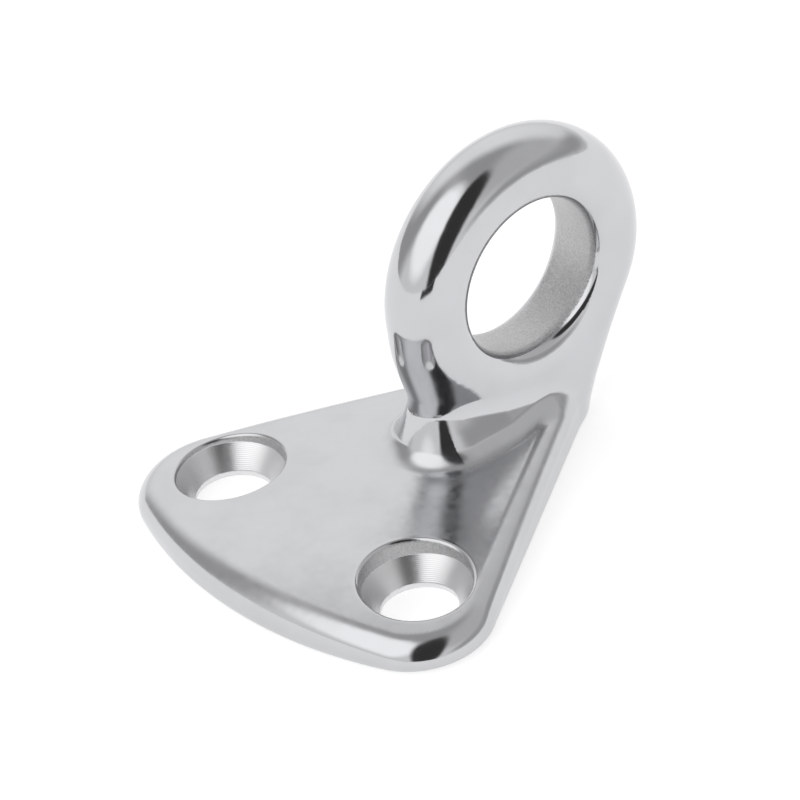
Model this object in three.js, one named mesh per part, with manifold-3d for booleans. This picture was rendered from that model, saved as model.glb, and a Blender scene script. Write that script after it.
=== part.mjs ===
// Cast stainless pad eye: a rounded triangular base plate with two countersunk screw holes and an
// upright ring that grows out of the plate through a neck, a web and a flared foot.
// Millimetres, +Z up. The origin is midway between the two screw holes, on the flat underside.
// +X runs from the screw holes towards the ring, and the ring's bore runs along Y.
import * as THREE from 'three';
import { ConvexGeometry } from 'three/addons/geometries/ConvexGeometry.js';
import { mergeVertices } from 'three/addons/utils/BufferGeometryUtils.js';
import Module from 'manifold-3d';

// Base plate outline: four arcs joined by straight sides, mirrored about the X axis.
const FRONT_X = -13;
const CORNER = { x: -1.45, y: 16.3, radius: 8.4 };
const TIP = { x: 32.1, radius: 4 };

// Base plate thickness: crowned across its width, and falling a little towards its front edge.
const CROWN = { height: 5.7, acrossRadius: 124, frontRadius: 80, frontStart: 0.85 };
const EDGE_ROUND = 2.4;
const FOOT_ROUND = 1;

// Two screw holes, each a land, a machined countersink and an as-cast counterbore.
const HOLE_SPACING = 30;
const HOLE = { radius: 4.15, land: 0.87, coneTop: 3.39, coneRadius: 5.92, wallZ: 3.49, wall: 5.98 };

// Ring: a round bar bent into a circle, with the inside bored flat and its edges eased.
const RING = { x: 29.5, z: 21.25, path: 11.9, bar: 4.45, bore: 8.9 };
const BORE_EDGE = { from: 2.9, to: 3.7, flare: 0.5 };

// Web under the ring, and the round bar along its rear edge, a straight tangent from ring to tip.
const REAR_LEAN = THREE.MathUtils.degToRad(31);
const WEB = { halfThickness: 3.7, round: 2.4, frontX: 17.2, frontDepth: 1 };

// Neck at the front of the web, narrowest at its waist, just above the collar.
const NECK = { x: 18.1, waist: 3.55, waistZ: 10.6, top: 4.3, topZ: 17 };

// Collar: the flare that carries neck and web onto the plate, dying out towards the tip.
const COLLAR = { baseZ: 3, footZ: 5.6, front: 6.2, tipX: 32, tip: 4, tipTop: 3.7, tipTopZ: 6 };

// Facet counts.
const OUTLINE_STEPS = 132;
const ROUND_STEPS = 4;
const FOOT_STEPS = 2;
const TOP_STEPS = 4;
const HOLE_STEPS = 48;
const RING_STEPS = 80;
const BAR_STEPS = 24;
const BORE_STEPS = 80;
const WEB_ARC_STEPS = 12;

// Where the plate's rings of vertices close up, clear of both screw holes.
const PLATE_MIDDLE_X = 8.5;

// Long enough to pass through the whole casting.
const THROUGH = 100;

const wasm = await Module();
wasm.setup();

// A manifold-3d solid from a closed three.js geometry.
function solidOf(geometry) {
  const bare = geometry.clone();
  bare.deleteAttribute('normal');
  bare.deleteAttribute('uv');
  const merged = mergeVertices(bare, 1e-4);
  const index = merged.index.array;
  const triangles = [];
  for (let i = 0; i < index.length; i += 3) {
    const [a, b, c] = index.slice(i, i + 3);
    if (a !== b && b !== c && c !== a) triangles.push(a, b, c);
  }
  return new wasm.Manifold(new wasm.Mesh({
    numProp: 3,
    vertProperties: new Float32Array(merged.attributes.position.array),
    triVerts: new Uint32Array(triangles),
  }));
}

// The solid's triangles as a three.js geometry.
function geometryOf(solid) {
  const mesh = solid.getMesh();
  const geometry = new THREE.BufferGeometry();
  geometry.setAttribute('position', new THREE.BufferAttribute(mesh.vertProperties, 3));
  geometry.setIndex(new THREE.BufferAttribute(mesh.triVerts, 1));
  geometry.computeVertexNormals();
  return geometry;
}

// Angles in even steps from 0 to 90 degrees.
function quarterTurn(steps) {
  return Array.from({ length: steps + 1 }, (_, step) => step / steps * Math.PI / 2);
}

// Height of the plate's crowned top above the underside.
function crownHeight(x, y) {
  const ahead = Math.max(0, CROWN.frontStart - x);
  return CROWN.height - y * y / (2 * CROWN.acrossRadius) - ahead * ahead / (2 * CROWN.frontRadius);
}

// Plate outline, counter-clockwise: front arc, one corner, the tip, and the other corner.
function plateOutline() {
  const reach = CORNER.x - FRONT_X;
  const frontRadius = (reach ** 2 + CORNER.y ** 2 - CORNER.radius ** 2) / (2 * (reach - CORNER.radius));
  const frontCentre = FRONT_X + frontRadius;
  const frontTurn = Math.atan2(CORNER.y, frontCentre - CORNER.x);
  const run = TIP.x - CORNER.x;
  const taper = Math.asin((CORNER.radius - TIP.radius) / Math.hypot(run, CORNER.y));
  const sideTurn = Math.PI / 2 - Math.atan2(CORNER.y, run) - taper;
  const shape = new THREE.Shape();
  shape.absarc(frontCentre, 0, frontRadius, Math.PI - frontTurn, Math.PI + frontTurn, false);
  shape.absarc(CORNER.x, -CORNER.y, CORNER.radius, Math.PI + frontTurn, 2 * Math.PI - sideTurn, false);
  shape.absarc(TIP.x, 0, TIP.radius, -sideTurn, sideTurn, false);
  shape.absarc(CORNER.x, CORNER.y, CORNER.radius, sideTurn, Math.PI - frontTurn, false);
  return shape.getSpacedPoints(OUTLINE_STEPS).slice(0, OUTLINE_STEPS);
}

// The outline moved inwards by a distance.
function insetOutline(distance) {
  const outline = plateOutline();
  return outline.map((point, at) => {
    const before = outline[(at + OUTLINE_STEPS - 1) % OUTLINE_STEPS];
    const after = outline[(at + 1) % OUTLINE_STEPS];
    const inward = new THREE.Vector2(before.y - after.y, after.x - before.x).normalize();
    return point.clone().addScaledVector(inward, distance);
  });
}

// The crowned plate: a lathed puck whose rings of vertices are moved onto the plate's outline.
// Each row of the puck is one ring: a loop of points and how high it lies, from the middle of the
// underside out to the edge, over the rounded edge and back to the middle of the crowned top.
function basePlate() {
  const middle = new THREE.Vector2(PLATE_MIDDLE_X, 0);
  const shrink = (scale) => insetOutline(EDGE_ROUND).map((point) => middle.clone().lerp(point, scale));
  const rows = [{ loop: shrink(0), height: () => 0 }];
  for (const turn of quarterTurn(FOOT_STEPS)) {
    const rise = FOOT_ROUND * (1 - Math.cos(turn));
    rows.push({ loop: insetOutline(FOOT_ROUND * (1 - Math.sin(turn))), height: () => rise });
  }
  for (const turn of quarterTurn(ROUND_STEPS)) {
    const drop = EDGE_ROUND * (1 - Math.sin(turn));
    rows.push({
      loop: insetOutline(EDGE_ROUND * (1 - Math.cos(turn))),
      height: (x, y) => crownHeight(x, y) - drop,
    });
  }
  for (let step = TOP_STEPS - 1; step >= 0; step -= 1) {
    rows.push({ loop: shrink(step / TOP_STEPS), height: crownHeight });
  }
  const profile = rows.map((row, level) => {
    const pole = level === 0 || level === rows.length - 1;
    return new THREE.Vector2(pole ? 0 : 1, level);
  });
  const puck = new THREE.LatheGeometry(profile, OUTLINE_STEPS);
  const position = puck.attributes.position;
  for (let i = 0; i < position.count; i += 1) {
    const row = rows[i % rows.length];
    const point = row.loop[Math.floor(i / rows.length) % OUTLINE_STEPS];
    position.setXYZ(i, point.x, point.y, row.height(point.x, point.y));
  }
  return solidOf(puck);
}

// The ring's bar, a torus standing in the X-Z plane.
function ringBar() {
  const torus = new THREE.TorusGeometry(RING.path, RING.bar, BAR_STEPS, RING_STEPS);
  torus.rotateX(Math.PI / 2);
  torus.translate(RING.x, 0, RING.z);
  return solidOf(torus);
}

// A point in the ring's own plane, at a radius from its centre and an angle from +X.
function onRing(radius, turn) {
  return new THREE.Vector2(RING.x + radius * Math.cos(turn), RING.z + radius * Math.sin(turn));
}

// Where the rear bar's centre line, which leaves the ring's path as a tangent, meets the underside.
function rearFootX() {
  const start = onRing(RING.path, -REAR_LEAN);
  return start.x - start.y * Math.tan(REAR_LEAN);
}

// The web between ring and plate, drawn in side view and extruded across Y with rounded edges.
function ringWeb() {
  const outline = [
    new THREE.Vector2(WEB.frontX, 0),
    new THREE.Vector2(rearFootX(), 0),
    onRing(RING.path + WEB.round, -REAR_LEAN),
  ];
  for (let step = 0; step <= WEB_ARC_STEPS; step += 1) {
    const turn = -REAR_LEAN - step / WEB_ARC_STEPS * (Math.PI - 2 * REAR_LEAN);
    outline.push(onRing(RING.path - WEB.round, turn));
  }
  outline.push(onRing(RING.path + RING.bar - WEB.frontDepth, REAR_LEAN - Math.PI));
  const depth = 2 * (WEB.halfThickness - WEB.round);
  const web = new THREE.ExtrudeGeometry(new THREE.Shape(outline), {
    depth,
    bevelThickness: WEB.round,
    bevelSize: WEB.round,
    bevelOffset: -WEB.round,
    bevelSegments: ROUND_STEPS,
  });
  web.translate(0, 0, -depth / 2);
  web.rotateX(Math.PI / 2);
  return solidOf(web);
}

// The round rear edge of the web, tapering from the ring's bar to the plate's tip.
function rearBar() {
  const top = onRing(RING.path, -REAR_LEAN);
  const length = top.y / Math.cos(REAR_LEAN);
  const bar = new THREE.CylinderGeometry(RING.bar, TIP.radius, length, BAR_STEPS);
  bar.rotateX(Math.PI / 2);
  bar.rotateY(REAR_LEAN);
  bar.translate((top.x + rearFootX()) / 2, 0, top.y / 2);
  return solidOf(bar);
}

// The neck and the front of the collar, turned about a vertical line.
function neck() {
  const profile = [
    [0, COLLAR.baseZ], [COLLAR.front, COLLAR.baseZ], [COLLAR.front, COLLAR.footZ],
    [NECK.waist, NECK.waistZ], [NECK.top, NECK.topZ], [0, NECK.topZ],
  ];
  const turned = new THREE.LatheGeometry(profile.map(([r, z]) => new THREE.Vector2(r, z)), HOLE_STEPS);
  turned.rotateX(Math.PI / 2);
  turned.translate(NECK.x, 0, 0);
  return solidOf(turned);
}

// The collar's sloping sides along the web, lower and narrower towards the tip.
function collarSides() {
  const corners = [
    [NECK.x, COLLAR.front, COLLAR.baseZ], [NECK.x, COLLAR.front, COLLAR.footZ],
    [NECK.x, NECK.waist, NECK.waistZ], [COLLAR.tipX, COLLAR.tip, COLLAR.baseZ],
    [COLLAR.tipX, COLLAR.tip, COLLAR.footZ], [COLLAR.tipX, COLLAR.tipTop, COLLAR.tipTopZ],
  ];
  const points = [1, -1].flatMap((side) => corners.map(([x, y, z]) => new THREE.Vector3(x, side * y, z)));
  return solidOf(new ConvexGeometry(points));
}

// Cutter for one screw hole, centred on its axis.
function holeCutter(y) {
  const profile = [
    [0, -THROUGH], [HOLE.radius, -THROUGH], [HOLE.radius, HOLE.land], [HOLE.coneRadius, HOLE.coneTop],
    [HOLE.wall, HOLE.wallZ], [HOLE.wall, THROUGH], [0, THROUGH],
  ];
  const cutter = new THREE.LatheGeometry(profile.map(([r, z]) => new THREE.Vector2(r, z)), HOLE_STEPS);
  cutter.rotateX(Math.PI / 2);
  cutter.translate(0, y, 0);
  return solidOf(cutter);
}

// Cutter for the ring's bore: straight in the middle, opening a little at both faces.
function boreCutter() {
  const side = [
    [RING.bore, BORE_EDGE.from], [RING.bore + BORE_EDGE.flare, BORE_EDGE.to],
    [RING.bore + BORE_EDGE.flare, THROUGH], [0, THROUGH],
  ];
  const mirrored = side.map(([r, y]) => [r, -y]).reverse();
  const profile = [...mirrored, ...side].map(([r, y]) => new THREE.Vector2(r, y));
  const cutter = new THREE.LatheGeometry(profile, BORE_STEPS);
  cutter.translate(RING.x, 0, RING.z);
  return solidOf(cutter);
}

function belowFloor() {
  const box = new THREE.BoxGeometry(THROUGH, THROUGH, THROUGH);
  box.translate(0, 0, -THROUGH / 2);
  return solidOf(box);
}

function casting() {
  let body = basePlate();
  for (const piece of [ringBar(), ringWeb(), rearBar(), neck(), collarSides()]) body = body.add(piece);
  const holes = [HOLE_SPACING / 2, -HOLE_SPACING / 2].map(holeCutter);
  for (const cutter of [belowFloor(), boreCutter(), ...holes]) body = body.subtract(cutter);
  return geometryOf(body);
}

const polishedSteel = new THREE.MeshStandardMaterial({ color: 0xc9cbce, roughness: 0.16, metalness: 1 });

const group = new THREE.Group();
const padEye = new THREE.Mesh(casting(), polishedSteel);
padEye.name = 'pad_eye_casting';
group.add(padEye);

export default group;
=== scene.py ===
"""Cast stainless pad eye: one finely modelled casting on a pale studio floor.

The casting's surface is written as a distance field in millimetres, worked out from the frame's box
and a few driving sizes. It is turned into a mesh whose vertices and normals are taken from that field.
"""

import math

import bmesh
import bpy
import numpy as np
from mathutils import Matrix, Vector


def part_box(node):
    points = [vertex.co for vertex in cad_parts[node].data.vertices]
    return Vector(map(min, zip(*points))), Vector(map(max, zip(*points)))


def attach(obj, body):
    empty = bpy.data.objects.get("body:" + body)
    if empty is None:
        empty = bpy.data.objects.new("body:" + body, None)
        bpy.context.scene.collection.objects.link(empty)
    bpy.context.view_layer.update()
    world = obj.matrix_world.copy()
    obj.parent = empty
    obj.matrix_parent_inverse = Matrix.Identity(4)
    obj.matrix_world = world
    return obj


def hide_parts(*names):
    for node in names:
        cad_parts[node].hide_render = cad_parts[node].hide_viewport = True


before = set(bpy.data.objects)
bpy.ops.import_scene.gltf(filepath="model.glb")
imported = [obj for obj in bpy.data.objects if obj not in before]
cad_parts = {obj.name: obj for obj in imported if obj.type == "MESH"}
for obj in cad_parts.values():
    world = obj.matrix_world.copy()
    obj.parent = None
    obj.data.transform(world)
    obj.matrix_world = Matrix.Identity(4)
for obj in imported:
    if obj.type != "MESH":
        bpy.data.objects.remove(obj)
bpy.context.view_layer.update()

MM = 0.001
NODE = "pad_eye_casting"
LOW, HIGH = (np.array(corner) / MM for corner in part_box(NODE))

# ---------------------------------------------------------------- driving sizes, mm and radians
BAR = 4.45                       # radius of the ring's round bar
PATH = 11.9                      # radius of the ring's centre line
BORE = 8.9                       # radius of the ring's bore
BORE_EASE = 0.7                  # rounding of the bore's edges
RING_X = HIGH[0] - PATH - BAR    # the ring's centre
RING_Z = HIGH[2] - PATH - BAR

FRONT_X = LOW[0]                 # foremost point of the plate
CORNER_RADIUS = 8.4              # plate corners around the screw holes, and their arcs' centres
CORNER_X = -1.45
CORNER_Y = HIGH[1] - CORNER_RADIUS
TIP_X, TIP_RADIUS = 32.1, 4.0    # arc of the plate's narrow end
EDGE_ROUND = 2.4                 # rounded top edge of the plate
FOOT_ROUND = 1.0                 # small rounding where the plate meets the deck

CROWN = 5.7                      # plate thickness on the centre line
CROWN_ACROSS = 124.0             # radius of the crown across the plate
CROWN_FRONT = 80.0               # radius of the fall towards the front edge
CROWN_START = 0.85               # where that fall begins

REAR_LEAN = math.radians(31.0)   # web's rear edge, from upright
FOOT_HALF_NECK, FOOT_NECK_X = 2.8, 15.0      # half the web's thickness low down, at the neck
FOOT_HALF_REAR, FOOT_REAR_X = 4.1, 23.0      # and from here to the rear
FOOT_BLEND_LOW, FOOT_BLEND_HIGH = 6.5, 20.0  # heights over which it grows into the ring's bar

COLLAR_SLOPE = math.radians(27.0)            # flare round the web's foot, its face from upright
COLLAR_FRONT, COLLAR_START_X = 5.6, 15.5     # its height above the plate, up to this x
COLLAR_TIP, COLLAR_END_X = 0.5, 32.0         # and from this x on
COLLAR_TOP_ROUND, COLLAR_FOOT_ROUND = 0.5, 1.4

HOLE_Y = 15.0                    # screw holes, each side of the centre line
LAND_RADIUS, LAND_TOP = 4.15, 0.87           # straight hole below the countersink
SINK_RADIUS, SINK_TOP = 5.97, 3.39           # countersink's wide end, and the counterbore above it
RIM_ROUND = 0.45                 # rounding of the screw holes' edges

MESH_STEP = 0.35                 # grid the surface is first found on
FINE_ROUNDS = 2                  # times that faces near the holes' and the bore's walls are split
FINE_BAND = 0.7                  # how near such a face lies
COLLAR_HIGH, COLLAR_WIDE = 6.5, 3.25         # split once: this near the plate and the upright part
COLLAR_LOW = CROWN / 2.0                     # and above this height
SLOPE_STEP = 0.01                # half the span over which the field's slope is taken
LEAST_SLOPE = 0.5                # smallest slope used in a step towards the surface


# ---------------------------------------------------------------- distance field of the casting
def ramp(value, low, high):
    """0 up to low, 1 from high, straight between."""
    return np.clip((value - low) / (high - low), 0.0, 1.0)


def join_round(a, b, radius):
    """Union of two solids with a concave fillet."""
    corner = np.hypot(np.maximum(radius - a, 0.0), np.maximum(radius - b, 0.0))
    return np.maximum(radius, np.minimum(a, b)) - corner


def cut_round(a, b, radius):
    """What two solids share, with a rounded edge."""
    corner = np.hypot(np.maximum(radius + a, 0.0), np.maximum(radius + b, 0.0))
    return np.minimum(-radius, np.maximum(a, b)) + corner


def outline_distance(x, y):
    """Distance outside the plate's outline: front arc, corner arcs, straight sides and tip."""
    y = np.abs(y)
    reach = CORNER_X - FRONT_X
    front_radius = (reach ** 2 + CORNER_Y ** 2 - CORNER_RADIUS ** 2) / (2.0 * (reach - CORNER_RADIUS))
    front_centre = FRONT_X + front_radius
    front_turn = math.atan2(CORNER_Y, front_centre - CORNER_X)
    run = TIP_X - CORNER_X
    taper = math.asin((CORNER_RADIUS - TIP_RADIUS) / math.hypot(run, CORNER_Y))
    side_turn = math.pi / 2.0 - math.atan2(CORNER_Y, run) - taper
    across, along = x - CORNER_X, y - CORNER_Y
    front = np.hypot(x - front_centre, y) - front_radius
    side = across * math.cos(side_turn) + along * math.sin(side_turn) - CORNER_RADIUS
    turn = np.arctan2(along, across)
    in_corner = (turn > side_turn) & (turn < math.pi - front_turn)
    near_tip = np.arctan2(y, x - TIP_X) < side_turn
    distance = np.where(in_corner, np.hypot(across, along) - CORNER_RADIUS, np.maximum(front, side))
    return np.where(near_tip, np.hypot(x - TIP_X, y) - TIP_RADIUS, distance)


def plate_distance(x, y, z):
    """Base plate: its outline, under a crowned top that falls towards the front edge."""
    ahead = np.maximum(CROWN_START - x, 0.0)
    crown = CROWN - y * y / (2.0 * CROWN_ACROSS) - ahead * ahead / (2.0 * CROWN_FRONT)
    return cut_round(outline_distance(x, y), z - crown, EDGE_ROUND)


def upright_distance(x, y, z):
    """Ring, web and neck: everything within half a thickness of a flat skeleton in the plane y = 0.

    The skeleton is the ring's circular centre line and, below it, the region between the web's
    leaning rear line and the neck's upright front line, both tangents of that circle.
    """
    across, up = x - RING_X, z - RING_Z
    radius = np.hypot(across, up)
    rear = across * math.cos(REAR_LEAN) - up * math.sin(REAR_LEAN) - PATH
    front = -across - PATH
    turn = np.arctan2(up, across)
    in_web = (turn < -REAR_LEAN) & (radius > PATH)
    beside = np.where(in_web, np.maximum(np.maximum(rear, front), 0.0), np.abs(radius - PATH))
    along = ramp(x, FOOT_NECK_X, FOOT_REAR_X)
    along = along * along * (3.0 - 2.0 * along)
    foot_half = FOOT_HALF_NECK + (FOOT_HALF_REAR - FOOT_HALF_NECK) * along
    grown = ramp(z, FOOT_BLEND_LOW, FOOT_BLEND_HIGH)
    grown = grown ** 3 * (grown * (6.0 * grown - 15.0) + 10.0)
    half = foot_half + (BAR - foot_half) * grown
    return np.hypot(beside, y) - half


def bore_gap(x, z):
    """How far a point lies outside the bore's wall, negative inside the bore."""
    return np.hypot(x - RING_X, z - RING_Z) - BORE


def hole_gap(x, y, z):
    """How far a point lies outside the nearer screw hole's wall, negative inside the hole."""
    slope = (SINK_RADIUS - LAND_RADIUS) / (SINK_TOP - LAND_TOP)
    wall = np.clip(LAND_RADIUS + (z - LAND_TOP) * slope, LAND_RADIUS, SINK_RADIUS)
    return np.hypot(x, np.abs(y) - HOLE_Y) - wall


def casting_distance(x, y, z):
    """Plate, upright part and the collar round its foot, less the deck side, the bore and the holes."""
    height = COLLAR_FRONT + (COLLAR_TIP - COLLAR_FRONT) * ramp(x, COLLAR_START_X, COLLAR_END_X)
    plate = plate_distance(x, y, z)
    upright = upright_distance(x, y, z)
    collar = upright * math.cos(COLLAR_SLOPE) + (plate - height) * math.sin(COLLAR_SLOPE)
    upright = join_round(upright, collar, COLLAR_TOP_ROUND)
    solid = join_round(plate, upright, np.minimum(COLLAR_FOOT_ROUND, height))
    solid = cut_round(solid, -z, FOOT_ROUND)
    solid = cut_round(solid, -bore_gap(x, z), BORE_EASE)
    return cut_round(solid, -hole_gap(x, y, z), RIM_ROUND)


def casting_gradient(points):
    slopes = []
    for offset in np.eye(3) * SLOPE_STEP:
        ahead = casting_distance(*(points + offset).T)
        behind = casting_distance(*(points - offset).T)
        slopes.append((ahead - behind) / (2.0 * SLOPE_STEP))
    return np.stack(slopes, axis=1)


def onto_surface(points, rounds=4):
    """Moves points along the field's slope until they lie where it is zero."""
    for _ in range(rounds):
        distance = np.clip(casting_distance(*points.T), -MESH_STEP, MESH_STEP)
        slope = casting_gradient(points)
        squared = np.maximum((slope * slope).sum(axis=1), LEAST_SLOPE ** 2)
        points = points - (distance / squared)[:, None] * slope
    return points


# ---------------------------------------------------------------- mesh of the field
def surface_net(step):
    """Quads round the field's zero level: one vertex in each grid cell that the surface crosses."""
    margin = 3.0 * step
    start = LOW - margin
    count = np.ceil((HIGH + margin - start) / step).astype(int) + 1
    axes = [start[i] + step * np.arange(count[i]) for i in range(3)]
    inside = np.empty(count, dtype=bool)
    y, z = np.meshgrid(axes[1], axes[2], indexing="ij")
    for i, x in enumerate(axes[0]):
        inside[i] = casting_distance(np.full_like(y, x), y, z) < 0.0
    cells = count - 1
    corners = np.zeros(cells, dtype=int)
    for i, j, k in np.ndindex(2, 2, 2):
        corners += inside[i:i + cells[0], j:j + cells[1], k:k + cells[2]]
    crossed = (corners > 0) & (corners < 8)
    number = np.full(cells, -1)
    number[crossed] = np.arange(crossed.sum())
    points = start + step * (np.argwhere(crossed) + 0.5)
    quads = []
    for axis in range(3):
        side, other = (axis + 1) % 3, (axis + 2) % 3
        inner = [slice(1, n) for n in cells]
        inner[axis] = slice(0, cells[axis])
        outer = list(inner)
        outer[axis] = slice(1, cells[axis] + 1)
        before, after = inside[tuple(inner)], inside[tuple(outer)]
        edges = np.argwhere(before != after)
        edges[:, side] += 1
        edges[:, other] += 1
        ring = []
        for back_side, back_other in ((1, 1), (0, 1), (0, 0), (1, 0)):
            cell = edges.copy()
            cell[:, side] -= back_side
            cell[:, other] -= back_other
            ring.append(number[tuple(cell.T)])
        quad = np.stack(ring, axis=1)
        entering = after[before != after]
        quad[entering] = quad[entering][:, ::-1]
        quads.append(quad)
    return points, np.concatenate(quads)


def even_out(points, quads, rounds=3, pull=0.6):
    """Slides vertices along the surface towards the middle of their neighbours."""
    ends = np.concatenate([quads[:, [i, (i + 1) % 4]] for i in range(4)])
    neighbours = np.bincount(ends.ravel(), minlength=len(points))
    for _ in range(rounds):
        total = np.zeros_like(points)
        for i in range(3):
            total[:, i] += np.bincount(ends[:, 0], points[ends[:, 1], i], len(points))
            total[:, i] += np.bincount(ends[:, 1], points[ends[:, 0], i], len(points))
        normal = casting_gradient(points)
        normal /= np.linalg.norm(normal, axis=1)[:, None]
        move = total / neighbours[:, None] - points
        move -= (move * normal).sum(axis=1)[:, None] * normal
        points = onto_surface(points + pull * move, rounds=2)
    return points


def refine_near_walls(mesh):
    """Splits the faces at the screw holes, bore and collar, and puts all points on the surface."""
    work = bmesh.new()
    work.from_mesh(mesh)
    for fine_round in range(FINE_ROUNDS):
        centres = np.array([face.calc_center_median() for face in work.faces])
        near = np.abs(hole_gap(*centres.T)) < FINE_BAND
        near |= np.abs(bore_gap(centres[:, 0], centres[:, 2])) < FINE_BAND
        if fine_round == 0:
            low = (plate_distance(*centres.T) < COLLAR_HIGH) & (centres[:, 2] > COLLAR_LOW)
            near |= low & (upright_distance(*centres.T) < COLLAR_WIDE)
        work.faces.ensure_lookup_table()
        edges = {edge for i in np.nonzero(near)[0] for edge in work.faces[i].edges}
        bmesh.ops.subdivide_edges(work, edges=list(edges), cuts=1, use_grid_fill=True)
        points = onto_surface(np.array([vertex.co for vertex in work.verts]))
        for vertex, point in zip(work.verts, points):
            vertex.co = point
    work.to_mesh(mesh)
    work.free()


def build_casting():
    """The casting as one smooth mesh in metres, with the field's own normals."""
    points, quads = surface_net(MESH_STEP)
    points = even_out(onto_surface(points), quads)
    mesh = bpy.data.meshes.new("casting_surface")
    mesh.from_pydata(points.tolist(), [], quads.tolist())
    refine_near_walls(mesh)
    points = np.empty(len(mesh.vertices) * 3)
    mesh.vertices.foreach_get("co", points)
    points = points.reshape(-1, 3)
    normals = casting_gradient(points)
    normals /= np.linalg.norm(normals, axis=1)[:, None]
    mesh.transform(Matrix.Scale(MM, 4))
    mesh.polygons.foreach_set("use_smooth", [True] * len(mesh.polygons))
    mesh.normals_split_custom_set_from_vertices(normals.tolist())
    mesh.update()
    piece = bpy.data.objects.new("casting_surface", mesh)
    bpy.context.collection.objects.link(piece)
    return piece


# ---------------------------------------------------------------- node helpers
class Nodes:
    """Short calls for building a node tree."""

    def __init__(self, tree):
        self.tree = tree
        tree.nodes.clear()

    def add(self, kind, inputs=None, **settings):
        node = self.tree.nodes.new(kind)
        for name, value in settings.items():
            setattr(node, name, value)
        for name, value in (inputs or {}).items():
            self.give(node.inputs[name], value)
        return node

    def give(self, socket, value):
        if isinstance(value, bpy.types.NodeSocket):
            self.tree.links.new(value, socket)
        else:
            socket.default_value = value

    def math(self, operation, *values):
        node = self.add("ShaderNodeMath", operation=operation)
        for socket, value in zip(node.inputs, values):
            self.give(socket, value)
        return node.outputs[0]

    def step(self, value, low, high, to_low=0.0, to_high=1.0):
        """Smooth step from to_low at low to to_high at high."""
        node = self.add("ShaderNodeMapRange", interpolation_type="SMOOTHSTEP", inputs={
            "Value": value, "From Min": low, "From Max": high, "To Min": to_low, "To Max": to_high})
        return node.outputs["Result"]

    def mix(self, factor, a, b):
        node = self.add("ShaderNodeMix", data_type="FLOAT")
        for socket, value in zip(node.inputs[:1] + node.inputs[2:4], (factor, a, b)):
            self.give(socket, value)
        return node.outputs[0]

    def mix_colour(self, factor, a, b):
        node = self.add("ShaderNodeMix", data_type="RGBA")
        for socket, value in zip((node.inputs[0], node.inputs[6], node.inputs[7]), (factor, a, b)):
            self.give(socket, value)
        return node.outputs[2]

    def noise(self, position, scale, detail=2.0, roughness=0.5):
        node = self.add("ShaderNodeTexNoise", inputs={
            "Vector": position, "Scale": scale, "Detail": detail, "Roughness": roughness})
        return node.outputs["Fac"]


# ---------------------------------------------------------------- material
# Noise, in cells per millimetre.
GRAIN_SCALE, SPECK_SCALE, LUMP_SCALE, WANDER_SCALE, SHEEN_SCALE = 4.4, 2.4, 0.9, 0.5, 0.16
# Bump heights, in millimetres.
CAST_HEIGHT, SATIN_HEIGHT, SHEEN_HEIGHT, WANDER_HEIGHT, LUMP_HEIGHT = 0.06, 0.0012, 0.04, 0.008, 0.003
PIT_DEPTH, RIDGE_HEIGHT = 0.003, 0.006
RIDGE_TURNS = 38.0                           # turning marks, radians per millimetre of depth
RIDGE_WAVER = 6.0                            # how far noise shifts them, radians
# Parts of the noise's range that are used, from no effect to full effect.
SHEEN_RANGE, SATIN_RANGE, GRAIN_RANGE, SKIN_RANGE = (0.35, 0.7), (0.3, 0.7), (0.3, 0.7), (0.35, 0.65)
PIT_RANGE = 0.69, 0.77
# Where one finish fades into the next, in millimetres.
WALL_NEAR, WALL_FAR = 0.02, 0.12             # outside a screw hole's wall
BORE_NEAR, BORE_FAR = 0.05, 0.25             # outside the bore's wall
CONE_FADE = 0.05                             # below and above the countersink's top
SATIN_RIM_NEAR, SATIN_RIM_FAR = 0.4, 0.8     # outside a screw hole's wall
SATIN_UP, SATIN_DOWN = (2.6, 3.8), (5.5, 8.0)  # heights over which the satin comes and goes
# Roughness, as a pair from the smoothest to the roughest, or as one value.
POLISH_ROUGH = 0.07, 0.13
SATIN_ROUGH = 0.08, 0.14                     # added to the polish on the plate's top
CAST_ROUGH = 0.34, 0.5
PIT_ROUGH, TURNED_ROUGH = 0.2, 0.3
# Colours.
STEEL_BRIGHT, STEEL_DULL = (0.575, 0.58, 0.595, 1), (0.555, 0.56, 0.57, 1)
SKIN_DARK, SKIN_LIGHT = (0.46, 0.46, 0.465, 1), (0.60, 0.60, 0.605, 1)
# Painted light: the turned countersinks get a much lighter colour than the rest of the steel, to brighten
# these recesses.
TURNED_PAINTED_LIGHT_COLOUR = (0.78, 0.78, 0.79, 1)


def axis_distance(nodes, a, b):
    squares = [nodes.math("MULTIPLY", value, value) for value in (a, b)]
    return nodes.math("SQRT", nodes.math("ADD", *squares))


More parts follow.
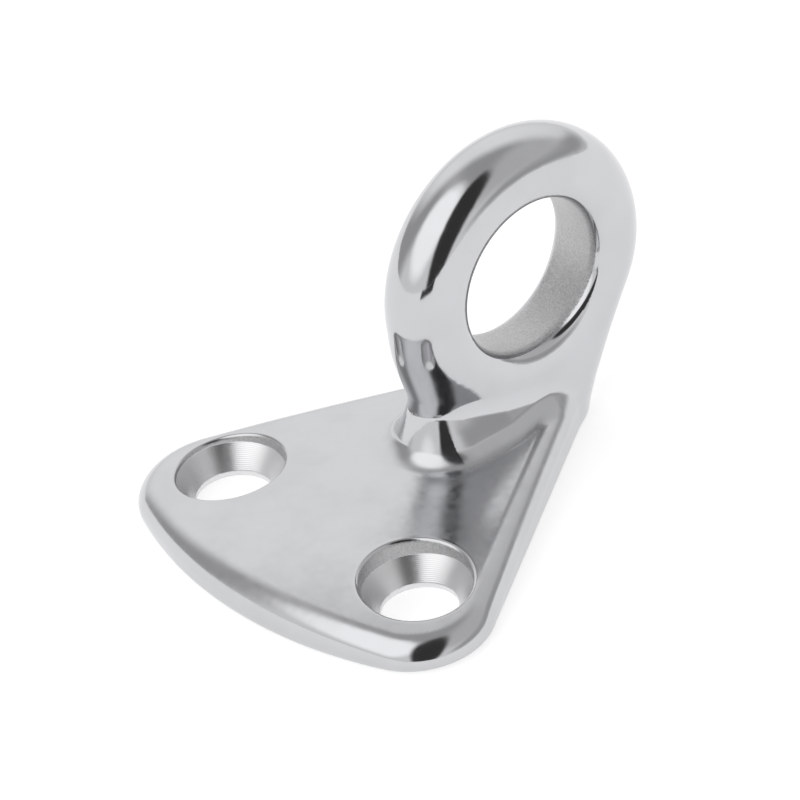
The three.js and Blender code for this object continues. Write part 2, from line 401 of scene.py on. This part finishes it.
def finish_masks(nodes, x, y, z):
    """Where the steel is turned, where its cast skin is left, and where the plate's top is satin."""
    hole_y = nodes.math("SUBTRACT", nodes.math("ABSOLUTE", y), HOLE_Y)
    from_hole = axis_distance(nodes, x, hole_y)
    ring_x = nodes.math("SUBTRACT", x, RING_X)
    ring_z = nodes.math("SUBTRACT", z, RING_Z)
    from_bore = axis_distance(nodes, ring_x, ring_z)
    in_hole = nodes.step(from_hole, SINK_RADIUS + WALL_NEAR, SINK_RADIUS + WALL_FAR, 1.0, 0.0)
    in_bore = nodes.step(from_bore, BORE + BORE_NEAR, BORE + BORE_FAR, 1.0, 0.0)
    above_cone = nodes.step(z, SINK_TOP - CONE_FADE, SINK_TOP + CONE_FADE)
    turned = nodes.math("MULTIPLY", in_hole, nodes.math("SUBTRACT", 1.0, above_cone))
    cast = nodes.math("MAXIMUM", nodes.math("MULTIPLY", in_hole, above_cone), in_bore)
    satin = nodes.math("MULTIPLY", nodes.step(z, *SATIN_UP), nodes.step(z, *SATIN_DOWN, 1.0, 0.0))
    off_rim = nodes.step(from_hole, SINK_RADIUS + SATIN_RIM_NEAR, SINK_RADIUS + SATIN_RIM_FAR)
    return turned, cast, nodes.math("MULTIPLY", satin, off_rim)


def steel_material():
    """Stainless: polished outside, satin on the plate, grainy cast bore, turned countersinks whose colour
    is painted lighter to brighten them.
    """
    material = bpy.data.materials.new("polished_cast_steel")
    material.use_nodes = True
    nodes = Nodes(material.node_tree)
    place = nodes.add("ShaderNodeTexCoord").outputs["Object"]
    scaled = nodes.add("ShaderNodeVectorMath", operation="SCALE", inputs={0: place, "Scale": 1.0 / MM})
    mm = scaled.outputs[0]
    x, y, z = nodes.add("ShaderNodeSeparateXYZ", inputs={0: mm}).outputs
    turned, cast, satin = finish_masks(nodes, x, y, z)
    # Surface texture.
    grain = nodes.noise(mm, GRAIN_SCALE, detail=3.0, roughness=0.6)
    lumps = nodes.noise(mm, LUMP_SCALE, detail=2.0)
    sheen = nodes.noise(mm, SHEEN_SCALE, detail=3.0)
    wander = nodes.noise(mm, WANDER_SCALE, detail=1.0)
    specks = nodes.noise(mm, SPECK_SCALE, detail=4.0, roughness=0.7)
    pits = nodes.step(specks, *PIT_RANGE)
    phase = nodes.math("MULTIPLY", z, RIDGE_TURNS)
    rings = nodes.math("SINE", nodes.math("ADD", phase, nodes.math("MULTIPLY", wander, RIDGE_WAVER)))
    # Roughness.
    polish = nodes.step(sheen, *SHEEN_RANGE, *POLISH_ROUGH)
    satin_rough = nodes.math("MULTIPLY", satin, nodes.step(lumps, *SATIN_RANGE, *SATIN_ROUGH))
    polish = nodes.math("ADD", polish, satin_rough)
    polish = nodes.math("ADD", polish, nodes.math("MULTIPLY", pits, PIT_ROUGH))
    rough = nodes.mix(cast, polish, nodes.step(grain, *GRAIN_RANGE, *CAST_ROUGH))
    rough = nodes.mix(turned, rough, TURNED_ROUGH)
    # Bump, heights in millimetres.
    height = nodes.math("MULTIPLY", sheen, SHEEN_HEIGHT)
    height = nodes.math("ADD", height, nodes.math("MULTIPLY", lumps, LUMP_HEIGHT))
    height = nodes.math("ADD", height, nodes.math("MULTIPLY", wander, WANDER_HEIGHT))
    height = nodes.math("SUBTRACT", height, nodes.math("MULTIPLY", pits, PIT_DEPTH))
    satin_height = nodes.math("MULTIPLY", satin, nodes.math("MULTIPLY", grain, SATIN_HEIGHT))
    height = nodes.math("ADD", height, satin_height)
    height = nodes.mix(cast, height, nodes.math("MULTIPLY", grain, CAST_HEIGHT))
    height = nodes.mix(turned, height, nodes.math("MULTIPLY", rings, RIDGE_HEIGHT))
    bump = nodes.add("ShaderNodeBump", inputs={"Height": height, "Distance": MM, "Strength": 1.0})
    # Colour.
    bright = nodes.mix_colour(nodes.step(sheen, *SHEEN_RANGE), STEEL_BRIGHT, STEEL_DULL)
    skin = nodes.mix_colour(nodes.step(grain, *SKIN_RANGE), SKIN_DARK, SKIN_LIGHT)
    colour = nodes.mix_colour(cast, bright, skin)
    # Painted light: the countersinks are coloured lighter than the steel around them, to brighten the
    # recesses.
    colour = nodes.mix_colour(turned, colour, TURNED_PAINTED_LIGHT_COLOUR)
    shader = nodes.add("ShaderNodeBsdfPrincipled", inputs={
        "Base Color": colour, "Metallic": 1.0, "Roughness": rough, "Normal": bump.outputs[0]})
    nodes.add("ShaderNodeOutputMaterial", inputs={"Surface": shader.outputs[0]})
    return material


def matt_material(name, colour, glow=0.0):
    """Dull surface of one colour, which may give off some white light of its own."""
    material = bpy.data.materials.new(name)
    material.use_nodes = True
    nodes = Nodes(material.node_tree)
    shader = nodes.add("ShaderNodeBsdfPrincipled", inputs={
        "Base Color": colour, "Roughness": 0.9, "Specular IOR Level": 0.0,
        "Emission Color": (1, 1, 1, 1), "Emission Strength": glow})
    nodes.add("ShaderNodeOutputMaterial", inputs={"Surface": shader.outputs[0]})
    return material


# ---------------------------------------------------------------- stage
CAMERA_TURN = math.radians(-36.1)    # from -Y, positive towards +X
CAMERA_HEIGHT = math.radians(36.7)
CAMERA_ROLL = math.radians(-8.72)
CAMERA_DISTANCE = 1.109              # metres
CAMERA_AIM = Vector((11.88, -0.79, 14.21)) * MM
CAMERA_LENS, SENSOR_WIDTH = 474.3, 36.0

FLOOR_HALF = 20.0                    # metres
FLOOR_DROP = 0.05                    # mm below the underside, so that the two never coincide
FLOOR_COLOUR, FLOOR_GLOW = (0.6, 0.6, 0.6, 1), 0.66
CARD_NEAR, CARD_FAR = 260.0, 9000.0  # mm from the frame's origin
CARD_LEFT, CARD_RIGHT = -24, 4       # degrees round from the camera
CARD_LIFT = 0.2                      # mm above the underside's level
CARD_COLOUR = (0.04, 0.04, 0.045, 1)

LEAST_AHEAD = 0.05                   # smallest divisor, for sky beside and behind a panel
TENT_LEVEL = 0.9                     # brightness of the light tent between its panels
TENT_PANELS = (                      # turn, height, tilt, half wide, half tall, soft, level
    (120, 70, 0, 50, 35, 0.5, 0.45),     # grey overhead, to the right and behind
    (90, 12, 0, 50, 10, 0.5, 0.45),      # darker strip low on the right
    (-115, 20, 0, 25, 40, 0.5, 0.45),    # grey on the left
    (80, 40, 0, 40, 25, 0.5, 0.65),      # lighter grey on the right
    (-50, 45, 0, 30, 35, 0.3, 1.4),      # bright soft box left of the camera
    (10, 30, -20, 20, 50, 0.2, 0.05),    # dark opening that the camera looks through
    (180, 35, 0, 45, 25, 0.6, 1.1),      # bright panel behind the object
)


def heading(turn, height):
    """Unit vector turned from -Y towards +X and raised above the floor."""
    level = math.cos(height)
    return Vector((math.sin(turn) * level, -math.cos(turn) * level, math.sin(height)))


def make_camera():
    camera = bpy.data.objects.new("camera", bpy.data.cameras.new("camera"))
    bpy.context.collection.objects.link(camera)
    towards = heading(CAMERA_TURN, CAMERA_HEIGHT)
    camera.data.sensor_width = SENSOR_WIDTH
    camera.data.lens = CAMERA_LENS
    turn = (-towards).to_track_quat("-Z", "Y").to_matrix().to_4x4()
    camera.matrix_world = (
        Matrix.Translation(CAMERA_AIM + towards * CAMERA_DISTANCE) @ turn
        @ Matrix.Rotation(CAMERA_ROLL, 4, "Z"))
    bpy.context.scene.camera = camera


def panel_mask(nodes, direction, turn, height, tilt, half_wide, half_tall, soft):
    """1 inside a soft-edged oval patch of sky, 0 outside.

    Angles are in degrees. Turn is counted from the camera, positive to its right.
    """
    centre = heading(CAMERA_TURN + math.radians(turn), math.radians(height))
    right = Vector((0, 0, 1)).cross(centre).normalized()
    up = centre.cross(right).normalized()
    lean = math.radians(tilt)
    wide = right * math.cos(lean) + up * math.sin(lean)
    tall = up * math.cos(lean) - right * math.sin(lean)

    def along(axis):
        node = nodes.add("ShaderNodeVectorMath", operation="DOT_PRODUCT", inputs={
            0: direction, 1: axis})
        return node.outputs["Value"]

    ahead = nodes.math("MAXIMUM", along(centre), LEAST_AHEAD)
    squares = []
    for axis, half in ((wide, half_wide), (tall, half_tall)):
        slope = nodes.math("DIVIDE", along(axis), ahead)
        share = nodes.math("DIVIDE", slope, math.tan(math.radians(half)))
        squares.append(nodes.math("MULTIPLY", share, share))
    size = nodes.math("SQRT", nodes.math("ADD", *squares))
    return nodes.step(size, 1.0 - soft, 1.0 + soft, 1.0, 0.0)


def make_world():
    """A light tent of soft-edged panels. The camera itself sees plain white behind the floor."""
    world = bpy.data.worlds.new("light_tent")
    bpy.context.scene.world = world
    world.use_nodes = True
    nodes = Nodes(world.node_tree)
    direction = nodes.add("ShaderNodeTexCoord").outputs["Generated"]
    level = TENT_LEVEL
    for *patch, bright in TENT_PANELS:
        level = nodes.mix(panel_mask(nodes, direction, *patch), level, bright)
    seen = nodes.add("ShaderNodeLightPath").outputs["Is Camera Ray"]
    level = nodes.mix(seen, level, 1.0)
    background = nodes.add("ShaderNodeBackground", inputs={"Color": (1, 1, 1, 1), "Strength": level})
    nodes.add("ShaderNodeOutputWorld", inputs={"Surface": background.outputs[0]})


def flat_face(name, corners, material):
    """One face in the scene, its corners in metres."""
    mesh = bpy.data.meshes.new(name)
    mesh.from_pydata(corners, [], [(0, 1, 2, 3)])
    mesh.materials.append(material)
    face = bpy.data.objects.new(name, mesh)
    bpy.context.collection.objects.link(face)
    return face


def make_floor():
    square = ((-1, -1), (1, -1), (1, 1), (-1, 1))
    corners = [(x * FLOOR_HALF, y * FLOOR_HALF, -FLOOR_DROP * MM) for x, y in square]
    material = matt_material("studio_floor", FLOOR_COLOUR, FLOOR_GLOW)
    floor = flat_face("studio_floor", corners, material)


def make_floor_card():
    """Dark card on the floor, outside the picture, running from in front of it past the camera."""
    ends = ((CARD_LEFT, CARD_NEAR), (CARD_RIGHT, CARD_NEAR), (CARD_RIGHT, CARD_FAR), (CARD_LEFT, CARD_FAR))
    corners = []
    for turn, reach in ends:
        corner = heading(CAMERA_TURN + math.radians(turn), 0.0) * reach * MM
        corners.append((corner.x, corner.y, CARD_LIFT * MM))
    card = flat_face("floor_card", corners, matt_material("dark_card", CARD_COLOUR))


def main():
    bpy.context.scene.view_settings.view_transform = "Standard"
    make_camera()
    make_world()
    make_floor()
    make_floor_card()
    casting = build_casting()
    casting.data.materials.append(steel_material())
    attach(casting, "root")
    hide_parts(NODE)


main()
